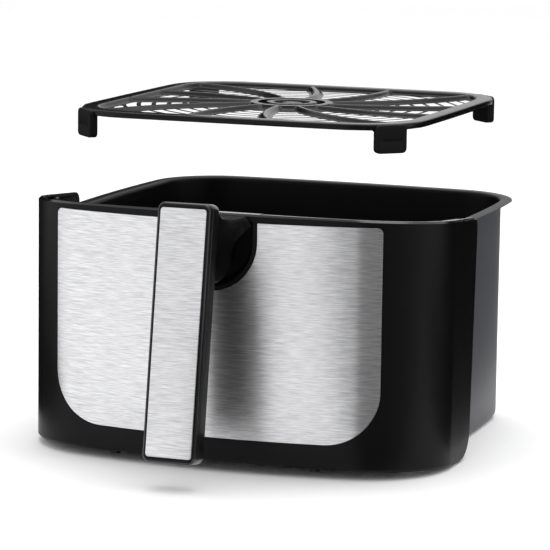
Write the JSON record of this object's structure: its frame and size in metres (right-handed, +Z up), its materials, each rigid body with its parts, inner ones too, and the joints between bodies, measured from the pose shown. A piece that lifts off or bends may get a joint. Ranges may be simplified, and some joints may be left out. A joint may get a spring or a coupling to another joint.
{
  "type": "air fryer drawer",
  "caption": "Square air fryer drawer: a coated pan behind a bowed, steel-faced front with a leaning bar handle, shown with its swirled, slotted crisper tray lifted out above it.",
  "frame": {"origin": "middle of the basket's flat underside, where the drawer stands on a table", "axes": "+Z up, -Y towards the user and out of the front, +X to the user's right"},
  "size_m": [0.3, 0.3656, 0.2345],
  "materials": {
    "pan_coating": "satin gunmetal non-stick coating on sheet steel",
    "cover_plastic": "satin black moulding",
    "frame_plastic": "matt black moulding",
    "handle_plastic": "satin black moulding",
    "brushed_plate": "stainless steel brushed across",
    "plated_steel": "zinc plated",
    "adhesive": "double-sided adhesive film",
    "tray_coating": "black satin non-stick coating on cast aluminium",
    "silicone": "matt black silicone"
  },
  "bodies": {
    "drawer": {"basket": "pan_coating", "front_cover": "cover_plastic", "inner_frame": "frame_plastic", "fascia_plate": "brushed_plate", "fascia_adhesive_left": "adhesive", "fascia_adhesive_right": "adhesive", "handle_grip": "handle_plastic", "handle_bezel": "handle_plastic", "handle_insert": "brushed_plate", "insert_adhesive": "adhesive", "bracket_left": "plated_steel", "bracket_right": "plated_steel", "bracket_screws": "plated_steel", "frame_screws": "plated_steel", "handle_screws": "plated_steel"},
    "tray": {"crisper_plate": "tray_coating", "corner_cap_front_left": "silicone", "corner_cap_front_right": "silicone", "corner_cap_rear_left": "silicone", "corner_cap_rear_right": "silicone"}
  },
  "joints": [
    {"name": "tray_lift", "type": "slide", "parent": "drawer", "child": "tray", "axis": [0, 0, 1], "range_m": [-0.2135, 0]}
  ]
}
